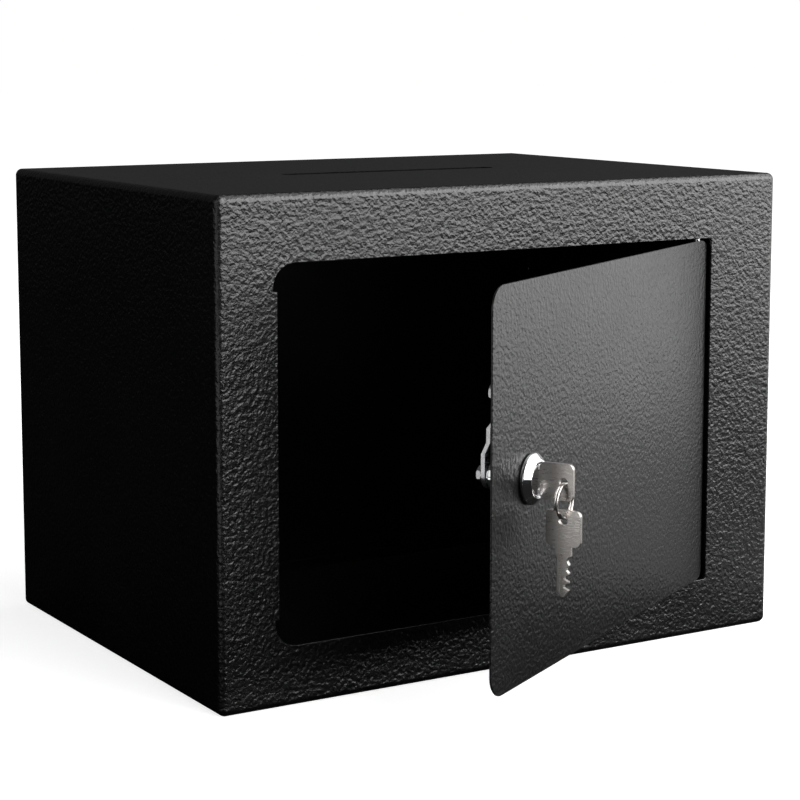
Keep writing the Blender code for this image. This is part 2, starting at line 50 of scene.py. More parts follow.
# ---------------------------------------------------------------- cabinet shell
# The cabinet is 1.2 mm steel sheet, folded and welded into a box that is open at the back, with a
# doorway and a slot punched out and a narrow flange bent back at the doorway's latch side. It is
# powder-coated black, with a baked wrinkle, and the slot's cut edge barely reflects, as painted shade inside
# the slot.
MM = 0.001
SHEET = 1.2 * MM
BEND_RADIUS = 2.5 * MM
EASED_EDGE = 0.3 * MM
SHELL_LOW, SHELL_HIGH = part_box("cabinet_shell")
DOORWAY_LEFT = SHELL_LOW.x + 20.5 * MM
DOORWAY_RIGHT = SHELL_HIGH.x - 29.8 * MM
DOORWAY_BOTTOM = SHELL_LOW.z + 20.6 * MM
DOORWAY_TOP = SHELL_HIGH.z - 22.8 * MM
DOORWAY_RADIUS = 8 * MM
DOORWAY_HINGE_RADIUS = 1 * MM
FLANGE_STEP = 1.5 * MM
FLANGE_NOTCH = 9 * MM
FLANGE_DEPTH = 8.9 * MM
SLOT_LENGTH, SLOT_WIDTH, SLOT_EASE = 91 * MM, 7 * MM, 0.03 * MM
SLOT_STEPS = 20
CORNER_STEPS = 12
LATCH_SIDE = 3 * (CORNER_STEPS + 1)
COAT_IOR = 1.52
WRINKLES, FINE_WRINKLES, GLOSS_PATCHES = 760, 2600, 24
WRINKLE_DEPTH, FINE_DEPTH = 0.4 * MM, 0.05 * MM
COAT_ROUGHNESS = (0.30, 0.36)
# Painted shade: the coat's colour goes from the first in the wrinkles' valleys to the second on their
# ridges.
COAT_VALLEY_SHADE, COAT_RIDGE_LIGHT = (0.0008, 0.0008, 0.0008, 1), (0.0022, 0.0022, 0.0023, 1)
# Painted shade: the slot's cut edge reflects only this little, so it stays dark.
SLOT_SHADE_SPECULAR = 0.03


def arc(centre, radius, start, end, steps):
    """Points along an arc, with its angles in degrees."""
    angles = [math.radians(start + (end - start) * i / steps) for i in range(steps + 1)]
    return [(centre[0] + radius * math.cos(a), centre[1] + radius * math.sin(a)) for a in angles]


def rounded(left, right, bottom, top, left_radius, right_radius, steps=CORNER_STEPS):
    return (
        arc((right - right_radius, bottom + right_radius), right_radius, -90, 0, steps)
        + arc((right - right_radius, top - right_radius), right_radius, 0, 90, steps)
        + arc((left + left_radius, top - left_radius), left_radius, 90, 180, steps)
        + arc((left + left_radius, bottom + left_radius), left_radius, 180, 270, steps)
    )


def grown(outline, amount):
    """The outline moved outwards along its corners' mitres. It runs anticlockwise."""
    moved = []
    for before, here, after in zip(outline[-1:] + outline[:-1], outline, outline[1:] + outline[:1]):
        a = (Vector(here) - Vector(before)).normalized()
        b = (Vector(after) - Vector(here)).normalized()
        mitre = Vector((a.y + b.y, -a.x - b.x))
        mitre *= 2 / max(mitre.length_squared, 1)
        moved.append(Vector(here) + mitre * amount)
    return moved


def stacked(outline, levels, axis="Z"):
    """A solid through copies of one outline: each level is (place along the axis, growth)."""
    order = {
        "X": lambda a, b, c: (c, a, b), "Y": lambda a, b, c: (a, c, b), "Z": lambda a, b, c: (a, b, c),
    }[axis]
    shape = bmesh.new()
    rings = [
        [shape.verts.new(order(p[0], p[1], level)) for p in grown(outline, growth)]
        for level, growth in levels
    ]
    for low, high in zip(rings, rings[1:]):
        for i in range(len(low)):
            j = (i + 1) % len(low)
            shape.faces.new((low[i], low[j], high[j], high[i]))
    shape.faces.new(rings[0])
    shape.faces.new(rings[-1])
    bmesh.ops.recalc_face_normals(shape, faces=shape.faces)
    return shape


def block(low, high):
    shape = bmesh.new()
    bmesh.ops.create_cube(shape, size=1)
    for vertex in shape.verts:
        vertex.co = Vector(a + (b - a) * (c + 0.5) for a, b, c in zip(low, high, vertex.co))
    return shape


def piece(name, shape):
    mesh = bpy.data.meshes.new(name)
    shape.to_mesh(mesh)
    shape.free()
    made = bpy.data.objects.new(name, mesh)
    bpy.context.scene.collection.objects.link(made)
    return made


def apply_modifiers(made):
    """The object's evaluated mesh becomes its own, and its modifiers go."""
    bpy.context.view_layer.update()
    mesh = bpy.data.meshes.new_from_object(made.evaluated_get(bpy.context.evaluated_depsgraph_get()))
    old = made.data
    made.modifiers.clear()
    made.data = mesh
    mesh.name = made.name
    bpy.data.meshes.remove(old)


def carve(made, shape, operation="DIFFERENCE"):
    """Cut, join or trim a piece with a shape."""
    bmesh.ops.recalc_face_normals(shape, faces=shape.faces)
    tool = piece("tool", shape)
    step = made.modifiers.new("Carve", "BOOLEAN")
    step.operation = operation
    step.solver = "EXACT"
    step.object = tool
    apply_modifiers(made)
    mesh = tool.data
    bpy.data.objects.remove(tool)
    bpy.data.meshes.remove(mesh)


def folded_box(name, low, high, open_face, radius, thickness):
    """A sheet box with rounded bends, left open at its front (-1) or back (1)."""
    shape = block(low, high)
    shape.normal_update()
    lost = [face for face in shape.faces if face.normal.y * open_face > 0.5]
    bmesh.ops.delete(shape, geom=lost, context="FACES")
    made = piece(name, shape)
    bend = made.modifiers.new("Bend", "BEVEL")
    bend.width = radius
    bend.segments = 10
    bend.limit_method = "ANGLE"
    wall = made.modifiers.new("Wall", "SOLIDIFY")
    wall.thickness = thickness
    wall.offset = -1
    wall.use_even_offset = True
    apply_modifiers(made)
    return made


def powder_coat(name, grain, seed):
    """Black powder coat: wrinkles over a millimetre wide, finer ones on them, and an uneven gloss; its
    colour is painted shade, darker in the wrinkles' valleys than on their ridges.
    """
    made = bpy.data.materials.new(name)
    made.use_nodes = True
    nodes, links = made.node_tree.nodes, made.node_tree.links
    shader = nodes["Principled BSDF"]
    shader.inputs["IOR"].default_value = COAT_IOR
    place = nodes.new("ShaderNodeTexCoord")
    shift = nodes.new("ShaderNodeMapping")
    shift.inputs["Location"].default_value = (seed, seed * 0.7, seed * 1.3)
    links.new(place.outputs["Object"], shift.inputs["Vector"])

    def noise(scale, detail, roughness, distortion=0.0):
        made_noise = nodes.new("ShaderNodeTexNoise")
        made_noise.inputs["Scale"].default_value = scale
        made_noise.inputs["Detail"].default_value = detail
        made_noise.inputs["Roughness"].default_value = roughness
        made_noise.inputs["Distortion"].default_value = distortion
        links.new(shift.outputs["Vector"], made_noise.inputs["Vector"])
        return made_noise.outputs["Fac"]

    def mapped(value, low, high, to_low, to_high):
        change = nodes.new("ShaderNodeMapRange")
        change.inputs["From Min"].default_value = low
        change.inputs["From Max"].default_value = high
        change.inputs["To Min"].default_value = to_low
        change.inputs["To Max"].default_value = to_high
        links.new(value, change.inputs["Value"])
        return change.outputs["Result"]

    wrinkle = noise(WRINKLES, 1.0, 0.4, 0.3)
    fine = noise(FINE_WRINKLES, 1.0, 0.5)
    patch = noise(GLOSS_PATCHES, 2.0, 0.5)
    wide = nodes.new("ShaderNodeBump")
    wide.inputs["Strength"].default_value = grain
    wide.inputs["Distance"].default_value = WRINKLE_DEPTH
    links.new(wrinkle, wide.inputs["Height"])
    small = nodes.new("ShaderNodeBump")
    small.inputs["Strength"].default_value = grain * 0.5
    small.inputs["Distance"].default_value = FINE_DEPTH
    links.new(fine, small.inputs["Height"])
    links.new(wide.outputs["Normal"], small.inputs["Normal"])
    links.new(small.outputs["Normal"], shader.inputs["Normal"])
    links.new(mapped(patch, 0.3, 0.7, *COAT_ROUGHNESS), shader.inputs["Roughness"])
    # Painted shade: the colour follows the wrinkle height, darker in the valleys than on the ridges.
    tint = nodes.new("ShaderNodeMix")
    tint.data_type = "RGBA"
    tint.inputs["A"].default_value = COAT_VALLEY_SHADE
    tint.inputs["B"].default_value = COAT_RIDGE_LIGHT
    links.new(mapped(wrinkle, 0.35, 0.65, 0, 1), tint.inputs["Factor"])
    links.new(tint.outputs["Result"], shader.inputs["Base Color"])
    return made


def dress(made, place, look, body, nodes, smooth=35):
    """Put a finished piece in its place, give it its finish and fix it to its body."""
    made.data.transform(place)
    made.data.materials.clear()
    made.data.materials.append(look)
    made.data.shade_smooth()
    made.data.set_sharp_from_angle(angle=math.radians(smooth))
    evened = made.modifiers.new("Even shading", "WEIGHTED_NORMAL")
    evened.keep_sharp = True
    apply_modifiers(made)
    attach(made, body)
    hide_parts(*nodes)


front = SHELL_LOW.y
doorway = rounded(
    DOORWAY_LEFT, DOORWAY_RIGHT, DOORWAY_BOTTOM, DOORWAY_TOP, DOORWAY_RADIUS, DOORWAY_HINGE_RADIUS,
)
flange_face = DOORWAY_LEFT + FLANGE_STEP
notch_top, notch_bottom = DOORWAY_TOP - FLANGE_NOTCH, DOORWAY_BOTTOM + FLANGE_NOTCH
doorway[LATCH_SIDE:LATCH_SIDE] = [
    (DOORWAY_LEFT, notch_top), (flange_face, notch_top), (flange_face, notch_bottom),
    (DOORWAY_LEFT, notch_bottom),
]
cabinet = folded_box("cabinet", SHELL_LOW, SHELL_HIGH, 1, BEND_RADIUS, SHEET)
flange = block(
    (flange_face - SHEET, front + SHEET / 2, DOORWAY_BOTTOM),
    (flange_face + SHEET, front + FLANGE_DEPTH, DOORWAY_TOP),
)
carve(cabinet, flange, "UNION")
carve(cabinet, stacked(doorway, [
    (front - SHEET, EASED_EDGE), (front, EASED_EDGE), (front + 0.3 * EASED_EDGE, 0.4 * EASED_EDGE),
    (front + EASED_EDGE, 0), (front + FLANGE_DEPTH + SHEET, 0),
], "Y"))
end = (SLOT_LENGTH - SLOT_WIDTH) / 2
slot = arc((end, 0), SLOT_WIDTH / 2, -90, 90, SLOT_STEPS)
slot += arc((-end, 0), SLOT_WIDTH / 2, 90, 270, SLOT_STEPS)
top = SHELL_HIGH.z
carve(cabinet, stacked(slot, [
    (top - 2 * SHEET, 0), (top - SLOT_EASE, 0), (top, SLOT_EASE), (top + SHEET, SLOT_EASE),
]))
shell_coat = powder_coat("shell_powder_coat", grain=0.9, seed=0.0)
dress(cabinet, Matrix(), shell_coat, "cabinet", ["cabinet_shell"])
# Painted shade: the slot's cut edge gets a second coat that hardly reflects, so it reads dark like the shade
# inside the slot.
slot_shade_coat = powder_coat("slot_painted_shade_coat", grain=0.2, seed=0.4)
slot_shade_shader = slot_shade_coat.node_tree.nodes["Principled BSDF"]
slot_shade_shader.inputs["Specular IOR Level"].default_value = SLOT_SHADE_SPECULAR
cabinet.data.materials.append(slot_shade_coat)
for face in cabinet.data.polygons:
    beyond = max(abs(face.center.x) - SLOT_LENGTH / 2, abs(face.center.y) - SLOT_WIDTH / 2)
    if beyond < SHEET and abs(face.normal.z) < 0.9:
        face.material_index = 1

# ---------------------------------------------------------------- back pan
# The back is a shallow pan of the same sheet, pushed into the shell and spot-welded round its
# flanges, so a fine seam shows round it.
pan_low, pan_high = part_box("back_panel")
back_pan = folded_box("back_pan", pan_low, pan_high, -1, BEND_RADIUS - SHEET, SHEET)
back_coat = powder_coat("back_powder_coat", grain=0.45, seed=0.31)
dress(back_pan, Matrix(), back_coat, "cabinet", ["back_panel"])

# ---------------------------------------------------------------- hinge brackets
# Two small steel angles welded behind the front panel and coated with the shell. They hold the
# hinge pins, and their sheared edges are slightly eased.
SHEARED_EDGE = 0.15 * MM


def eased_copy(name, node, width):
    """The CAD solid's own shape as a clean mesh with narrow rounded edges."""
    shape = bmesh.new()
    shape.from_mesh(frame["nodes"][node].data)
    bmesh.ops.remove_doubles(shape, verts=shape.verts, dist=0.002 * MM)
    bmesh.ops.dissolve_limit(shape, angle_limit=math.radians(1), verts=shape.verts, edges=shape.edges)
    made = piece(name, shape)
    ease = made.modifiers.new("Ease", "BEVEL")
    ease.width = width
    ease.segments = 3
    ease.limit_method = "ANGLE"
    ease.angle_limit = math.radians(40)
    apply_modifiers(made)
    return made


inner_coat = powder_coat("inner_powder_coat", grain=0.4, seed=0.57)
for name, node in (("upper_bracket", "upper_hinge_bracket"), ("lower_bracket", "lower_hinge_bracket")):
    dress(eased_copy(name, node, SHEARED_EDGE), Matrix(), inner_coat, "cabinet", [node])

# ---------------------------------------------------------------- door
# The door is one 0.8 mm sheet. Its hinge edge is rolled back round the hinge line into a short
# return, its corners are rounded and its edges are eased. It has the cabinet's wrinkled coat.
DOOR_SHEET = 0.8 * MM
ROLL_RADIUS = 3.4 * MM
DOOR_RETURN = 7 * MM
DOOR_GAP = 0.5 * MM
DOOR_LATCH_RADIUS = 7.5 * MM
DOOR_HINGE_RADIUS = 8 * MM
DOOR_EDGE, DOOR_BACK_EDGE = 0.25 * MM, 0.1 * MM
BARREL_HOLE = 6.0 * MM
BARREL_HOLE_STEPS = 64
hinge_line = Vector(joints["door_hinge"]["pos_m"])
door_open = math.radians(-joints["door_hinge"]["range_deg"][0])
door_place = Matrix.Translation((hinge_line.x, hinge_line.y, 0)) @ Matrix.Rotation(door_open, 4, "Z")
reach = hinge_line.x - flange_face - DOOR_GAP
door_bottom, door_top = DOORWAY_BOTTOM + DOOR_GAP, DOORWAY_TOP - DOOR_GAP
outer, inner = ROLL_RADIUS, ROLL_RADIUS - DOOR_SHEET
section = [(-reach - DOOR_GAP, -outer)] + arc((0, 0), outer, -90, 0, 12)
section += [(outer, DOOR_RETURN), (inner, DOOR_RETURN)] + arc((0, 0), inner, 0, -90, 12)
section += [(-reach - DOOR_GAP, -inner)]
door = piece("door", stacked(section, [(door_bottom - DOOR_GAP, 0), (door_top + DOOR_GAP, 0)]))
door_outline = rounded(
    -reach, outer + DOOR_GAP, door_bottom, door_top, DOOR_LATCH_RADIUS, DOOR_HINGE_RADIUS, 14,
)
carve(door, stacked(door_outline, [
    (-outer - DOOR_EDGE, -DOOR_EDGE), (-outer, -DOOR_EDGE),
    (-outer + 0.3 * DOOR_EDGE, -0.35 * DOOR_EDGE), (-outer + DOOR_EDGE, 0),
    (-inner - DOOR_EDGE, 0), (-inner, -DOOR_EDGE), (-inner + DOOR_BACK_EDGE, 0), (2 * DOOR_RETURN, 0),
], "Y"), "INTERSECT")
lock_from_hinge = Vector(joints["lock_turn"]["pos_m"]) - hinge_line
lock_x = lock_from_hinge.x * math.cos(door_open) + lock_from_hinge.y * math.sin(door_open)
lock_z = joints["lock_turn"]["pos_m"][2]
carve(door, stacked(
    arc((lock_x, lock_z), BARREL_HOLE, 0, 360, BARREL_HOLE_STEPS)[:-1],
    [(-outer - DOOR_SHEET, 0), (-inner + DOOR_SHEET, 0)], "Y",
))
door_coat = powder_coat("door_powder_coat", grain=0.6, seed=0.83)
dress(door, door_place, door_coat, "door", ["door_plate"])

# ---------------------------------------------------------------- lock bezel and barrel
# The cam lock's die-cast housing: a conical chrome bezel on the door's face and a threaded barrel
# through the door, clamped from behind by a washer and a hex nut.
def turned(profile, sides=96):
    """A closed profile of (radius, height) points turned round Z."""
    shape = bmesh.new()
    corners = [shape.verts.new((radius, 0, height)) for radius, height in profile]
    edges = [shape.edges.new((a, b)) for a, b in zip(corners, corners[1:] + corners[:1])]
    bmesh.ops.spin(
        shape, geom=corners + edges, cent=(0, 0, 0), axis=(0, 0, 1), angle=2 * math.pi, steps=sides,
        use_merge=True,
    )
    bmesh.ops.remove_doubles(shape, verts=shape.verts, dist=0.0005 * MM)
    bmesh.ops.dissolve_degenerate(shape, dist=0.0005 * MM, edges=shape.edges)
    bmesh.ops.recalc_face_normals(shape, faces=shape.faces)
    return shape


def filleted(points, radius, steps=5):
    """A closed line with each corner rounded, as far as its neighbours allow."""
    made = []
    for before, here, after in zip(points[-1:] + points[:-1], points, points[1:] + points[:1]):
        here, a, b = Vector(here), Vector(before) - Vector(here), Vector(after) - Vector(here)
        cut = min(radius, a.length * 0.45, b.length * 0.45)
        if here.x < 1e-9 or a.angle(b) > math.radians(170):
            made.append(tuple(here))
            continue
        start, finish = here + a.normalized() * cut, here + b.normalized() * cut
        for i in range(steps + 1):
            t = i / steps
            made.append(tuple(start * (1 - t) ** 2 + here * 2 * t * (1 - t) + finish * t ** 2))
    return made


def metal(name, colour, shade, roughness, streak, scratch, bump):
    """Plated or bare metal with a faint brushed grain along one direction and fine scratches."""
    made = bpy.data.materials.new(name)
    made.use_nodes = True
    nodes, links = made.node_tree.nodes, made.node_tree.links
    shader = nodes["Principled BSDF"]
    shader.inputs["Metallic"].default_value = 1.0
    place = nodes.new("ShaderNodeTexCoord")
    stretch = nodes.new("ShaderNodeMapping")
    stretch.inputs["Scale"].default_value = streak
    links.new(place.outputs["Object"], stretch.inputs["Vector"])
    grain = nodes.new("ShaderNodeTexNoise")
    grain.inputs["Scale"].default_value = scratch
    grain.inputs["Detail"].default_value = 4
    links.new(stretch.outputs["Vector"], grain.inputs["Vector"])
    cloud = nodes.new("ShaderNodeTexNoise")
    cloud.inputs["Scale"].default_value = 180
    cloud.inputs["Detail"].default_value = 2
    links.new(place.outputs["Object"], cloud.inputs["Vector"])
    tint = nodes.new("ShaderNodeMix")
    tint.data_type = "RGBA"
    tint.inputs["A"].default_value = (*shade, 1)
    tint.inputs["B"].default_value = (*colour, 1)
    links.new(cloud.outputs["Fac"], tint.inputs["Factor"])
    links.new(tint.outputs["Result"], shader.inputs["Base Color"])
    gloss = nodes.new("ShaderNodeMapRange")
    gloss.inputs["From Min"].default_value = 0.3
    gloss.inputs["From Max"].default_value = 0.7
    gloss.inputs["To Min"].default_value = roughness[0]
    gloss.inputs["To Max"].default_value = roughness[1]
    links.new(grain.outputs["Fac"], gloss.inputs["Value"])
    links.new(gloss.outputs["Result"], shader.inputs["Roughness"])
    lift = nodes.new("ShaderNodeBump")
    lift.inputs["Strength"].default_value = bump
    lift.inputs["Distance"].default_value = 0.02 * MM
    links.new(grain.outputs["Fac"], lift.inputs["Height"])
    links.new(lift.outputs["Normal"], shader.inputs["Normal"])
    return made


def place_from_lock(node):
    """Lowest and highest place of a CAD node along the lock's axis."""
    origin = Vector(joints["lock_turn"]["pos_m"])
    heights = [(vertex.co - origin).dot(out) for vertex in frame["nodes"][node].data.vertices]
    return min(heights), max(heights)


out = Vector(joints["lock_turn"]["axis"]).normalized()
along = Vector((0, 0, 1)).cross(out)
lock_place = Matrix.Translation(joints["lock_turn"]["pos_m"]) @ Matrix(
    (along, Vector((0, 0, 1)), out)
).transposed().to_4x4()
PLUG_RADIUS = 4.2 * MM
PLUG_BORE = PLUG_RADIUS + 0.25 * MM
PLATING_FILLET = 0.35 * MM
BEZEL_UNDERSIDE = 0.3 * MM
BARREL_RADIUS = 5.7 * MM
BEZEL_RADIUS, BEZEL_FRONT, BEZEL_BORE = 8.1 * MM, 6.0 * MM, 5.2 * MM
BEZEL_RIM, BEZEL_HEIGHT, BEZEL_FLOOR = 1.4 * MM, 3.4 * MM, 2.1 * MM
barrel_end = place_from_lock("lock_housing")[0]
chrome = metal(
    "polished_chrome", colour=(0.86, 0.86, 0.87), shade=(0.78, 0.78, 0.8), roughness=(0.05, 0.10),
    streak=(1, 1, 1), scratch=900, bump=0.02,
)
bezel = piece("lock_bezel", turned(filleted([
    (PLUG_BORE, barrel_end), (BARREL_RADIUS, barrel_end), (BARREL_RADIUS, BEZEL_UNDERSIDE),
    (BEZEL_RADIUS, BEZEL_UNDERSIDE),
    (BEZEL_RADIUS, BEZEL_RIM), (BEZEL_FRONT, BEZEL_HEIGHT), (BEZEL_BORE, BEZEL_HEIGHT),
    (BEZEL_BORE, BEZEL_FLOOR), (PLUG_BORE, BEZEL_FLOOR),
], PLATING_FILLET), 128))
dress(bezel, lock_place, chrome, "door", ["lock_housing"])

# ---------------------------------------------------------------- lock plug
# The turning cylinder in the housing: its face carries the keyway, and a square tail behind takes
# the cam. It is the same chrome-plated zinc as the housing.
KEYWAY_WIDTH, KEYWAY_HEIGHT = 2.1 * MM, 5.8 * MM
CAM_THICKNESS, GAP = 1.5 * MM, 0.3 * MM
DISC_RADIUS, DISC_BACK = 4.9 * MM, 2.4 * MM
TAIL_HALF = 2.2 * MM
PLUG_FILLET = 0.2 * MM
KEYWAY_MOUTH = 0.25 * MM
square_end, plug_face = place_from_lock("lock_plug")
plug_end = place_from_lock("cam")[0] + CAM_THICKNESS + GAP
plug = piece("turning_plug", turned(filleted([
    (0, plug_end), (PLUG_RADIUS, plug_end), (PLUG_RADIUS, DISC_BACK), (DISC_RADIUS, DISC_BACK),
    (DISC_RADIUS, plug_face), (0, plug_face),
], PLUG_FILLET)))
carve(plug, block((-TAIL_HALF, -TAIL_HALF, square_end), (TAIL_HALF, TAIL_HALF, plug_end + GAP)), "UNION")
keyway = rounded(
    -KEYWAY_WIDTH / 2, KEYWAY_WIDTH / 2, -KEYWAY_HEIGHT / 2, KEYWAY_HEIGHT / 2, PLUG_FILLET, PLUG_FILLET, 4,
)
carve(plug, stacked(keyway, [
    (plug_end + GAP, 0), (plug_face - 0.2 * MM, 0), (plug_face + 0.1 * MM, KEYWAY_MOUTH),
]))
dress(plug, lock_place, chrome, "lock_core", ["lock_plug"])
brass = metal(
    "wafer_brass", colour=(0.74, 0.60, 0.34), shade=(0.6, 0.47, 0.25), roughness=(0.25, 0.4),
    streak=(1, 1, 12), scratch=700, bump=0.1,
)
for number in range(1, 5):
    wafer = frame["nodes"][f"lock_wafer_{number}"]
    wafer.data.materials.clear()
    wafer.data.materials.append(brass)

# ---------------------------------------------------------------- washer, nut, cam and bolt
# Zinc-plated steel behind the door: the lock's washer and nut, and the twice-cranked cam on the
# plug's square tail, held by a washer and a hex bolt and with a hex stud near its tip.
WASHER_EDGE = 0.1 * MM
LOCK_WASHER_RADIUS = 8 * MM
NUT_FLATS, NUT_CHAMFER = 14 * MM, 0.4 * MM
BOLT_WASHER_BORE, BOLT_WASHER_RADIUS = 1.6 * MM, 3.2 * MM
BOLT_FLATS, BOLT_HEAD, BOLT_SHANK = 4.5 * MM, 1.6 * MM, 1.3 * MM
STUD_FLATS = 5 * MM
CAM_EDGE = 0.12 * MM
zinc = metal(
    "zinc_plate", colour=(0.62, 0.62, 0.63), shade=(0.5, 0.5, 0.52), roughness=(0.22, 0.36),
    streak=(1, 1, 1), scratch=500, bump=0.12,
)


def hexagon(flats):
    return arc((0, 0), flats / math.sqrt(3), 30, 390, 6)[:-1]


def hex_head(name, flats, low, high, place=(0, 0)):
    """A hexagon with both ends' corners chamfered by turning."""
    made = piece(name, stacked(hexagon(flats), [(low - MM, 0), (high + MM, 0)]))
    corner, flat = flats / math.sqrt(3) + 0.1 * MM, flats / 2 - 0.1 * MM
    slope = min(0.45 * MM, (high - low) / 4)
    carve(made, turned([
        (0, low), (flat, low), (corner, low + slope), (corner, high - slope), (flat, high), (0, high),
    ]), "INTERSECT")
    made.data.transform(Matrix.Translation((*place, 0)))
    return made


def flat_washer(name, bore, radius, low, high):
    section = [(bore, low), (radius, low), (radius, high), (bore, high)]
    return piece(name, turned(filleted(section, WASHER_EDGE)))


low, high = place_from_lock("lock_washer")
washer = flat_washer("barrel_washer", BARREL_HOLE, LOCK_WASHER_RADIUS, low, high)
dress(washer, lock_place, zinc, "door", ["lock_washer"])
low, high = place_from_lock("lock_nut")
nut = hex_head("barrel_nut", NUT_FLATS, low, high)
carve(nut, stacked(arc((0, 0), BARREL_HOLE, 0, 360, BARREL_HOLE_STEPS)[:-1], [
    (low - MM, NUT_CHAMFER), (low, NUT_CHAMFER), (low + NUT_CHAMFER, 0),
    (high - NUT_CHAMFER, 0), (high, NUT_CHAMFER), (high + MM, NUT_CHAMFER),
]))
dress(nut, lock_place, zinc, "door", ["lock_nut"])
dress(eased_copy("lock_cam", "cam", CAM_EDGE), Matrix(), zinc, "lock_core", ["cam"])
low, high = place_from_lock("cam_washer")
washer = flat_washer("bolt_washer", BOLT_WASHER_BORE, BOLT_WASHER_RADIUS, low, high)
dress(washer, lock_place, zinc, "lock_core", ["cam_washer"])
bolt_low, bolt_high = place_from_lock("cam_bolt")
bolt = hex_head("bolt", BOLT_FLATS, bolt_low, bolt_low + BOLT_HEAD)
carve(bolt, stacked(arc((0, 0), BOLT_SHANK, 0, 360, 32)[:-1], [(bolt_low + MM, 0), (bolt_high, 0)]), "UNION")
dress(bolt, lock_place, zinc, "lock_core", ["cam_bolt"])
low, high = place_from_lock("cam_stud")
stud_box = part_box("cam_stud")
stud_height = (stud_box[0].z + stud_box[1].z) / 2 - joints["lock_turn"]["pos_m"][2]
stud = hex_head("stud", STUD_FLATS, low, high, (0, stud_height))
dress(stud, lock_place, zinc, "lock_core", ["cam_stud"])

# ---------------------------------------------------------------- hinge pins
# Turned steel pins, welded into the ends of the door's rolled edge and free in the brackets.
for name, node in (("upper_pin", "upper_hinge_pin"), ("lower_pin", "lower_hinge_pin")):
    dress(eased_copy(name, node, SHEARED_EDGE), Matrix(), zinc, "door", [node])

# ---------------------------------------------------------------- keys
# Two stamped steel keys, plated with satin nickel: a near-square head with a punched hole, a neck,
# and a blade with cuts on one edge, a milled groove on each side and a point.
KEY_THICKNESS = 1.5 * MM
HEAD_LENGTH, HEAD_WIDTH, HEAD_RADIUS = 11.3 * MM, 11.6 * MM, 1.8 * MM
HOLE_RADIUS, HOLE_FROM_END = 1.45 * MM, 3.2 * MM
RING_DROP = 0.5 * MM
NECK_WIDTH, NECK_LENGTH = 5.2 * MM, 3.0 * MM
BLADE_WIDTH, BLADE_LENGTH = 4.0 * MM, 15.9 * MM
POINT_LENGTH, POINT_WIDTH = 2.0 * MM, 1.2 * MM
CUT_DEPTHS = (0.5 * MM, 0.8 * MM, 1.6 * MM, 1.8 * MM)
CUT_MOUTH, CUT_FLOOR = 0.42, 0.125
STAMPED_EDGE, GROOVE_FLARE, GROOVE_RUN = 0.1 * MM, 0.15 * MM, 0.9
GROOVE_LEFT, GROOVE_WIDTH, GROOVE_DEPTH = -0.1 * MM, 1.1 * MM, 0.4 * MM
nickel = metal(
    "satin_nickel", colour=(0.60, 0.57, 0.54), shade=(0.50, 0.47, 0.45), roughness=(0.24, 0.38),
    streak=(1, 1, 14), scratch=420, bump=0.10,
)


def key_blank(name):
    """A key in its own plane, across and up, with its hole at the origin and its blade down."""
    shoulder = HOLE_FROM_END - HEAD_LENGTH
    neck, tip = shoulder - NECK_LENGTH, shoulder - BLADE_LENGTH
    wide, narrow, blade, point = HEAD_WIDTH / 2, NECK_WIDTH / 2, BLADE_WIDTH / 2, POINT_WIDTH / 2
    line = rounded(-wide, wide, shoulder, HOLE_FROM_END, HEAD_RADIUS, HEAD_RADIUS, 8)
    line += [(-narrow, shoulder), (-narrow, neck)]
    pitch = (neck - tip - POINT_LENGTH) / len(CUT_DEPTHS)
    for i, depth in enumerate(CUT_DEPTHS):
        middle = neck - pitch * (i + 0.5)
        line += [(-blade, middle + CUT_MOUTH * pitch), (-blade + depth, middle + CUT_FLOOR * pitch)]
        line += [(-blade + depth, middle - CUT_FLOOR * pitch), (-blade, middle - CUT_MOUTH * pitch)]
    line += [(-blade, tip + POINT_LENGTH), (-point, tip), (point, tip), (blade, tip + POINT_LENGTH)]
    line += [(blade, neck), (narrow, neck), (narrow, shoulder)]
    half, soft = KEY_THICKNESS / 2, STAMPED_EDGE
    made = piece(name, stacked(line, [
        (-half, -soft), (-half + 0.3 * soft, -0.3 * soft), (-half + soft, 0), (half - soft, 0),
        (half - 0.3 * soft, -0.3 * soft), (half, -soft),
    ], "X"))
    carve(made, stacked(arc((0, 0), HOLE_RADIUS, 0, 360, 48)[:-1], [
        (-half - soft, soft), (-half, soft), (-half + soft, 0),
        (half - soft, 0), (half, soft), (half + soft, soft),
    ], "X"))
    for side in (-1, 1):
        floor = side * (half - GROOVE_DEPTH)
        mouth = side * (half + soft)
        groove = rounded(
            GROOVE_LEFT, GROOVE_LEFT + GROOVE_WIDTH, tip - MM, shoulder - GROOVE_RUN * NECK_LENGTH,
            GROOVE_WIDTH / 3, GROOVE_WIDTH / 3, 4,
        )
        carve(made, stacked(groove, sorted([(floor, -GROOVE_FLARE), (mouth, GROOVE_FLARE)]), "X"))
    return made


key_hole = Vector(joints["ring_swing"]["pos_m"]) + Vector((0, 0, RING_DROP))
key_place = Matrix.Translation(key_hole - Vector(joints["lock_turn"]["pos_m"]))
dress(key_blank("key_in_lock"), key_place @ lock_place, nickel, "key", ["key"])
spare_hole = Vector(joints["spare_key_swing"]["pos_m"]) - Vector((0, 0, RING_DROP))
spare_place = Matrix.Translation(spare_hole - Vector(joints["lock_turn"]["pos_m"])) @ lock_place
spare_place = spare_place @ Matrix.Rotation(-math.pi / 2, 4, "X")
dress(key_blank("hanging_key"), spare_place, nickel, "spare_key", ["spare_key"])

# ---------------------------------------------------------------- split ring
# Spring-steel wire wound into two touching turns, nickel-plated, through both keys' holes.
RING_RADIUS, WIRE_PITCH, WIRE = 5.4 * MM, 0.75 * MM, 0.735 * MM
COIL_TURNS, COIL_END = 1.97, math.radians(200)
COIL_STEPS, WIRE_SIDES = 96, 16


def input_socket(tree, name, value):
    made = tree.interface.new_socket(name=name, in_out="INPUT", socket_type="NodeSocketFloat")
    made.default_value = value
    return made.identifier


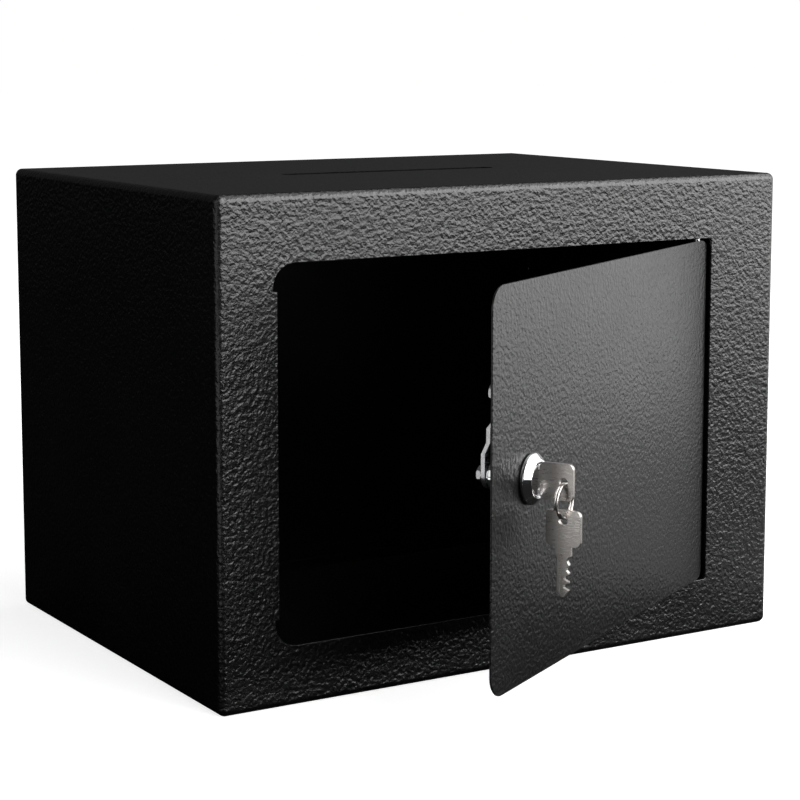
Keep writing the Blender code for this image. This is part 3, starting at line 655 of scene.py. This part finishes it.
def coil(name, radius, pitch, turns, wire, look):
    """Wire round a spiral of constant radius, made by Geometry Nodes and realised."""
    tree = bpy.data.node_groups.new(name, "GeometryNodeTree")
    tree.interface.new_socket(name="Geometry", in_out="OUTPUT", socket_type="NodeSocketGeometry")
    sizes = {"Coil Radius": radius, "Coil Height": pitch * turns, "Turns": turns, "Wire Radius": wire / 2}
    keys = {label: input_socket(tree, label, value) for label, value in sizes.items()}
    nodes, links = tree.nodes, tree.links
    inputs, output = nodes.new("NodeGroupInput"), nodes.new("NodeGroupOutput")
    path = nodes.new("GeometryNodeCurveSpiral")
    path.inputs["Resolution"].default_value = COIL_STEPS
    for socket in ("Start Radius", "End Radius"):
        links.new(inputs.outputs["Coil Radius"], path.inputs[socket])
    links.new(inputs.outputs["Coil Height"], path.inputs["Height"])
    links.new(inputs.outputs["Turns"], path.inputs["Rotations"])
    profile = nodes.new("GeometryNodeCurvePrimitiveCircle")
    profile.inputs["Resolution"].default_value = WIRE_SIDES
    links.new(inputs.outputs["Wire Radius"], profile.inputs["Radius"])
    tube = nodes.new("GeometryNodeCurveToMesh")
    tube.inputs["Fill Caps"].default_value = True
    links.new(path.outputs["Curve"], tube.inputs["Curve"])
    links.new(profile.outputs["Curve"], tube.inputs["Profile Curve"])
    real = nodes.new("GeometryNodeRealizeInstances")
    finish = nodes.new("GeometryNodeSetMaterial")
    finish.inputs["Material"].default_value = look
    links.new(tube.outputs["Mesh"], real.inputs["Geometry"])
    links.new(real.outputs["Geometry"], finish.inputs["Geometry"])
    links.new(finish.outputs["Geometry"], output.inputs["Geometry"])
    made = piece(name, bmesh.new())
    maker = made.modifiers.new("Coil", "NODES")
    maker.node_group = tree
    for label, key in keys.items():
        maker[key] = sizes[label]
    apply_modifiers(made)
    return made


ring = coil("key_ring", RING_RADIUS, WIRE_PITCH, COIL_TURNS, WIRE, nickel)
ring_centre = Vector(joints["ring_swing"]["pos_m"]) - Vector((0, 0, RING_RADIUS))
ring_place = Matrix.Translation(ring_centre - Vector(joints["lock_turn"]["pos_m"])) @ lock_place
dress(
    ring, ring_place @ Matrix.Rotation(COIL_END, 4, "Z") @ Matrix.Translation((0, 0, -WIRE_PITCH)), nickel,
    "ring", ["split_ring"],
)

# ---------------------------------------------------------------- floor, light and camera
# A plain pale floor. Soft white panels stand in front, at the right and above, with a weak one at
# the left and low cards beside the keys, at the right and behind.
FLOOR_HALF = 8
FLOOR_GREY, UNSEEN_GREY = (0.6, 0.6, 0.6, 1), (0.01, 0.01, 0.01, 1)
GLOW_NEAR, GLOW_FAR = (0.15, 0.8), (0.5, 1.0)
FILL, BACKDROP = 0.05, 1.0
CAMERA_PLACE = (-0.4186, -0.6975, 0.2178)
CAMERA_YAW, CAMERA_PITCH = math.radians(31.24), math.radians(7.56)
CAMERA_LENS, CAMERA_RISE = 97.65, -0.0875
floor_shape = bmesh.new()
bmesh.ops.create_grid(floor_shape, x_segments=1, y_segments=1, size=FLOOR_HALF)
floor = piece("floor", floor_shape)
floor_look = bpy.data.materials.new("floor")
floor_look.use_nodes = True
floor_nodes, floor_links = floor_look.node_tree.nodes, floor_look.node_tree.links
pale, glow = floor_nodes["Principled BSDF"], floor_nodes.new("ShaderNodeEmission")
shade = floor_nodes.new("ShaderNodeBsdfDiffuse")
pale.inputs["Base Color"].default_value = FLOOR_GREY
pale.inputs["Roughness"].default_value = 0.7
pale.inputs["Specular IOR Level"].default_value = 0.1
shade.inputs["Color"].default_value = UNSEEN_GREY
where, far = floor_nodes.new("ShaderNodeTexCoord"), floor_nodes.new("ShaderNodeVectorMath")
rise = floor_nodes.new("ShaderNodeMapRange")
far.operation = "LENGTH"
rise.inputs["From Min"].default_value, rise.inputs["To Min"].default_value = GLOW_NEAR
rise.inputs["From Max"].default_value, rise.inputs["To Max"].default_value = GLOW_FAR
floor_links.new(where.outputs["Object"], far.inputs[0])
floor_links.new(far.outputs["Value"], rise.inputs["Value"])
floor_links.new(rise.outputs["Result"], glow.inputs["Strength"])
both, seen = floor_nodes.new("ShaderNodeAddShader"), floor_nodes.new("ShaderNodeLightPath")
floor_mix = floor_nodes.new("ShaderNodeMixShader")
floor_links.new(pale.outputs["BSDF"], both.inputs[0])
floor_links.new(glow.outputs["Emission"], both.inputs[1])
floor_links.new(seen.outputs["Is Camera Ray"], floor_mix.inputs["Fac"])
floor_links.new(shade.outputs["BSDF"], floor_mix.inputs[1])
floor_links.new(both.outputs["Shader"], floor_mix.inputs[2])
floor_links.new(floor_mix.outputs["Shader"], floor_nodes["Material Output"].inputs["Surface"])
floor.data.materials.append(floor_look)

world = bpy.data.worlds.new("studio")
bpy.context.scene.world = world
world.use_nodes = True
world_nodes, world_links = world.node_tree.nodes, world.node_tree.links
seen, fill = world_nodes.new("ShaderNodeLightPath"), world_nodes.new("ShaderNodeMapRange")
fill.inputs["To Min"].default_value = FILL
fill.inputs["To Max"].default_value = BACKDROP
world_links.new(seen.outputs["Is Camera Ray"], fill.inputs["Value"])
world_nodes["Background"].inputs["Color"].default_value = (1, 1, 1, 1)
world_links.new(fill.outputs["Result"], world_nodes["Background"].inputs["Strength"])


def softbox(name, place, target, size, radiance):
    light = bpy.data.lights.new(name, "AREA")
    light.shape = "RECTANGLE"
    light.size, light.size_y = size
    light.energy = radiance * math.pi * size[0] * size[1]
    lamp = bpy.data.objects.new(name, light)
    lamp.location = place
    lamp.rotation_mode = "QUATERNION"
    lamp.rotation_quaternion = (Vector(target) - Vector(place)).to_track_quat("-Z", "Y")
    lamp.visible_camera = False
    bpy.context.scene.collection.objects.link(lamp)


softbox("front_panel", place=(0.55, -1.0, 0.755), target=(0.1, -0.1, 0.655), size=(1.7, 1.3), radiance=6.5)
softbox("right_panel", place=(0.52, -0.2, 0.42), target=(0, -0.15, 0.4), size=(0.66, 0.84), radiance=1.7)
softbox("right_card", place=(0.33, -0.1, 0.004), target=(0.33, -0.1, 1), size=(0.4, 0.14), radiance=0.42)
softbox("top_panel", place=(0.9, -0.3, 2.0), target=(0.1, 0, 0), size=(1.8, 1.8), radiance=1.8)
softbox("left_card", place=(-1.3, -0.5, 0.45), target=(0, -0.15, 0.1), size=(1.2, 0.9), radiance=0.95)
softbox("key_card", place=(-0.47, -0.22, 0.004), target=(-0.47, -0.22, 1), size=(0.36, 0.22), radiance=1.3)
softbox("rear_card", place=(0.25, 0.38, 0.004), target=(0.25, 0.38, 1), size=(0.6, 0.34), radiance=1.6)

camera = bpy.data.objects.new("camera", bpy.data.cameras.new("camera"))
bpy.context.scene.collection.objects.link(camera)
bpy.context.scene.camera = camera
level = math.cos(CAMERA_PITCH)
forward = Vector((math.sin(CAMERA_YAW) * level, math.cos(CAMERA_YAW) * level, -math.sin(CAMERA_PITCH)))
camera.location = CAMERA_PLACE
camera.rotation_mode = "QUATERNION"
camera.rotation_quaternion = forward.to_track_quat("-Z", "Y")
camera.data.sensor_width = 36
camera.data.lens = CAMERA_LENS
camera.data.shift_y = CAMERA_RISE
camera.data.clip_start = 0.01
camera.data.clip_end = 50
bpy.context.scene.view_settings.view_transform = "Standard"
